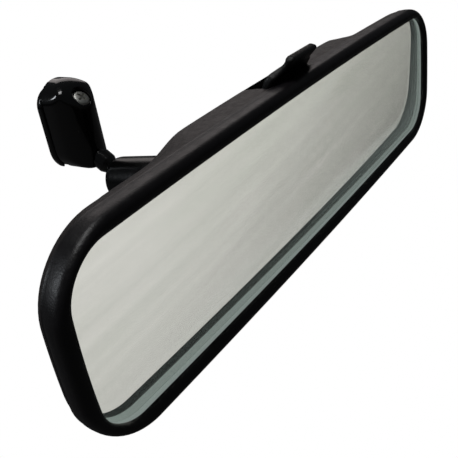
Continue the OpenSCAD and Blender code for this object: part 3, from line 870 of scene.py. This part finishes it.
def build_pieces(materials):
    """Every piece that stands for a CAD node."""
    dress(foot_casting(), "foot", "foot_paint", materials, "foot_casting")
    dress(clamp_screw(), "foot", "zinc_plate", materials, "clamp_screw")
    dress(arm_tube(), "arm", "arm_paint", materials, "arm_tube")
    dress(rear_case(), "head", "case_plastic", materials, "rear_case")
    dress(front_bezel(), "head", "bezel_plastic", materials, "front_bezel")
    dress(lever_tab(), "lever", "lever_plastic", materials, "lever_tab")
    dress(silver_back(), "head", "silver", materials, "silver_coating")
    glass = mirror_glass()
    faces = [p.material_index for p in glass.data.polygons]
    dress(glass, "head", "mirror_glass", materials, "mirror_glass")
    glass.data.materials.append(ground_edge_material("ground_edge"))
    glass.data.polygons.foreach_set("material_index", faces)


def dress_cad(materials):
    """Procedural materials for the CAD nodes that still show."""
    for obj in frame["nodes"].values():
        if not obj.hide_render:
            slot = obj.data.materials[0].name.split(".")[0]
            obj.data.materials.clear()
            obj.data.materials.append(materials[slot])


# ---------------------------------------------------------------- stage, light and camera


def stage_plane(name, centre, width, depth, material):
    """Flat sheet that isn't part of the object."""
    mesh = bpy.data.meshes.new(name)
    x, y = width / 2, depth / 2
    mesh.from_pydata([(-x, -y, 0), (x, -y, 0), (x, y, 0), (-x, y, 0)], [], [(0, 1, 2, 3)])
    mesh.materials.append(material)
    obj = bpy.data.objects.new(name, mesh)
    obj.location = centre
    bpy.context.scene.collection.objects.link(obj)
    return obj


def stage_material(name):
    """Empty material for the stage, with its node tree and its output."""
    material = bpy.data.materials.new(name)
    material.use_nodes = True
    material.node_tree.nodes.clear()
    return material, material.node_tree, material.node_tree.nodes.new("ShaderNodeOutputMaterial")


def floor_material():
    """White to the camera and dim to every other ray, so that the black parts stay black."""
    material, tree, out = stage_material("floor")
    path = tree.nodes.new("ShaderNodeLightPath")
    seen = add_node(tree, "ShaderNodeEmission", Color=(1, 1, 1, 1), Strength=1.0)
    dim = add_node(tree, "ShaderNodeBsdfDiffuse", Color=(0.12, 0.12, 0.12, 1))
    mix = add_node(tree, "ShaderNodeMixShader", Fac=path.outputs["Is Camera Ray"])
    tree.links.new(dim.outputs[0], mix.inputs[1])
    tree.links.new(seen.outputs[0], mix.inputs[2])
    tree.links.new(mix.outputs[0], out.inputs[0])
    return material


# The part of the card that the glass sees, in the card's own coordinates: from end to end of the
# glass, and from its top to its bottom
CARD_SEEN_X = (-1.15, -0.85)
CARD_SEEN_Y = (1.9, 2.03)
CARD_DIM = 0.82
CARD_LINES = (0.8, 130, 1)


def card_material():
    """Pale card that the glass reflects: warm to cool grey, with faint lines along the head."""
    material, tree, out = stage_material("card")
    place = tree.nodes.new("ShaderNodeTexCoord").outputs["Object"]
    split = add_node(tree, "ShaderNodeSeparateXYZ", Vector=place)
    along = map_range(tree, split.outputs["X"], *CARD_SEEN_X, 0.0, 1.0)
    ramp = add_node(tree, "ShaderNodeValToRGB", Fac=along)
    ramp.color_ramp.elements[0].color = linear(230, 225, 221)
    ramp.color_ramp.elements[1].color = linear(219, 216, 209)
    mapping = add_node(tree, "ShaderNodeMapping", Vector=place, Scale=CARD_LINES)
    lines = add_node(tree, "ShaderNodeTexNoise", Vector=mapping.outputs["Vector"], Scale=1.0,
                     Detail=1.0)
    faint = map_range(tree, lines.outputs["Fac"], 0.3, 0.7, 0.95, 1.04)
    near = map_range(tree, split.outputs["Y"], *CARD_SEEN_Y, 1.0, CARD_DIM)
    glow = add_node(tree, "ShaderNodeEmission", Color=ramp.outputs["Color"],
                    Strength=multiply(tree, faint, near))
    tree.links.new(glow.outputs[0], out.inputs[0])
    return material


def area_light(name, place, width, height, power, colour):
    """Soft box that looks at the head."""
    data = bpy.data.lights.new(name, "AREA")
    data.shape = "RECTANGLE"
    data.size, data.size_y, data.energy, data.color = width, height, power, colour
    obj = bpy.data.objects.new(name, data)
    obj.location = place
    obj.rotation_euler = (Vector((0, -0.1, 0)) - Vector(place)).to_track_quat("-Z", "Y").to_euler()
    bpy.context.scene.collection.objects.link(obj)
    return obj


FLOOR_Z = cad_lo.z - 0.09
FLOOR_SIZE = 24
# Each light's place and size in metres, power in watts and colour
LIGHTS = {
    "overhead": ((-0.15, 0.05, 1.2), 0.5, 0.5, 3.5, (1, 1, 1)),
    "back_right": ((1.7, 1.36, 1.3), 1.9, 1.4, 6.5, (1, 0.92, 0.9)),
    "back_left": ((-0.95, 0.75, 0.62), 0.2, 0.5, 2.5, (0.9, 0.95, 1)),
}
ROOM_COLOUR = (0.8, 0.85, 0.9, 1)
ROOM_STRENGTH = 0.05


def build_stage():
    """Floor, the card in the glass, three soft boxes and a dim room."""
    stage_plane("floor", (0, 0, FLOOR_Z), FLOOR_SIZE, FLOOR_SIZE, floor_material())
    card = stage_plane("card", (1.2, -2.2, FLOOR_Z + 0.002), 4.4, 4.14, card_material())
    card.visible_camera = False
    card.visible_diffuse = False
    card.visible_glossy = False
    card.visible_shadow = False
    for name, row in LIGHTS.items():
        area_light(name, *row)
    world = bpy.data.worlds.new("room")
    world.use_nodes = True
    background = world.node_tree.nodes["Background"]
    background.inputs["Color"].default_value = ROOM_COLOUR
    background.inputs["Strength"].default_value = ROOM_STRENGTH
    bpy.context.scene.world = world
    bpy.context.scene.view_settings.view_transform = "Standard"


CAM_TURN = math.radians(-52.683)
CAM_RISE = math.radians(28.024)
CAM_ROLL = math.radians(-9.235)
CAM_PLACE = (-0.1852157, -0.2235808, 0.0825354)
CAM_LENS = 50.783


def build_camera():
    """Camera turned round the head, raised and slightly rolled."""
    data = bpy.data.cameras.new("camera")
    data.lens, data.sensor_width, data.clip_start = CAM_LENS, 36, 0.01
    obj = bpy.data.objects.new("camera", data)
    bpy.context.scene.collection.objects.link(obj)
    back = Vector((math.sin(CAM_TURN) * math.cos(CAM_RISE),
                   -math.cos(CAM_TURN) * math.cos(CAM_RISE),
                   math.sin(CAM_RISE)))
    level = Vector((math.cos(CAM_TURN), math.sin(CAM_TURN), 0))
    up = back.cross(level)
    right = level * math.cos(CAM_ROLL) + up * math.sin(CAM_ROLL)
    up = up * math.cos(CAM_ROLL) - level * math.sin(CAM_ROLL)
    obj.matrix_world = Matrix((right, up, back)).transposed().to_4x4()
    obj.location = CAM_PLACE
    bpy.context.scene.camera = obj


made = make_materials()
build_pieces(made)
dress_cad(made)
build_stage()
build_camera()
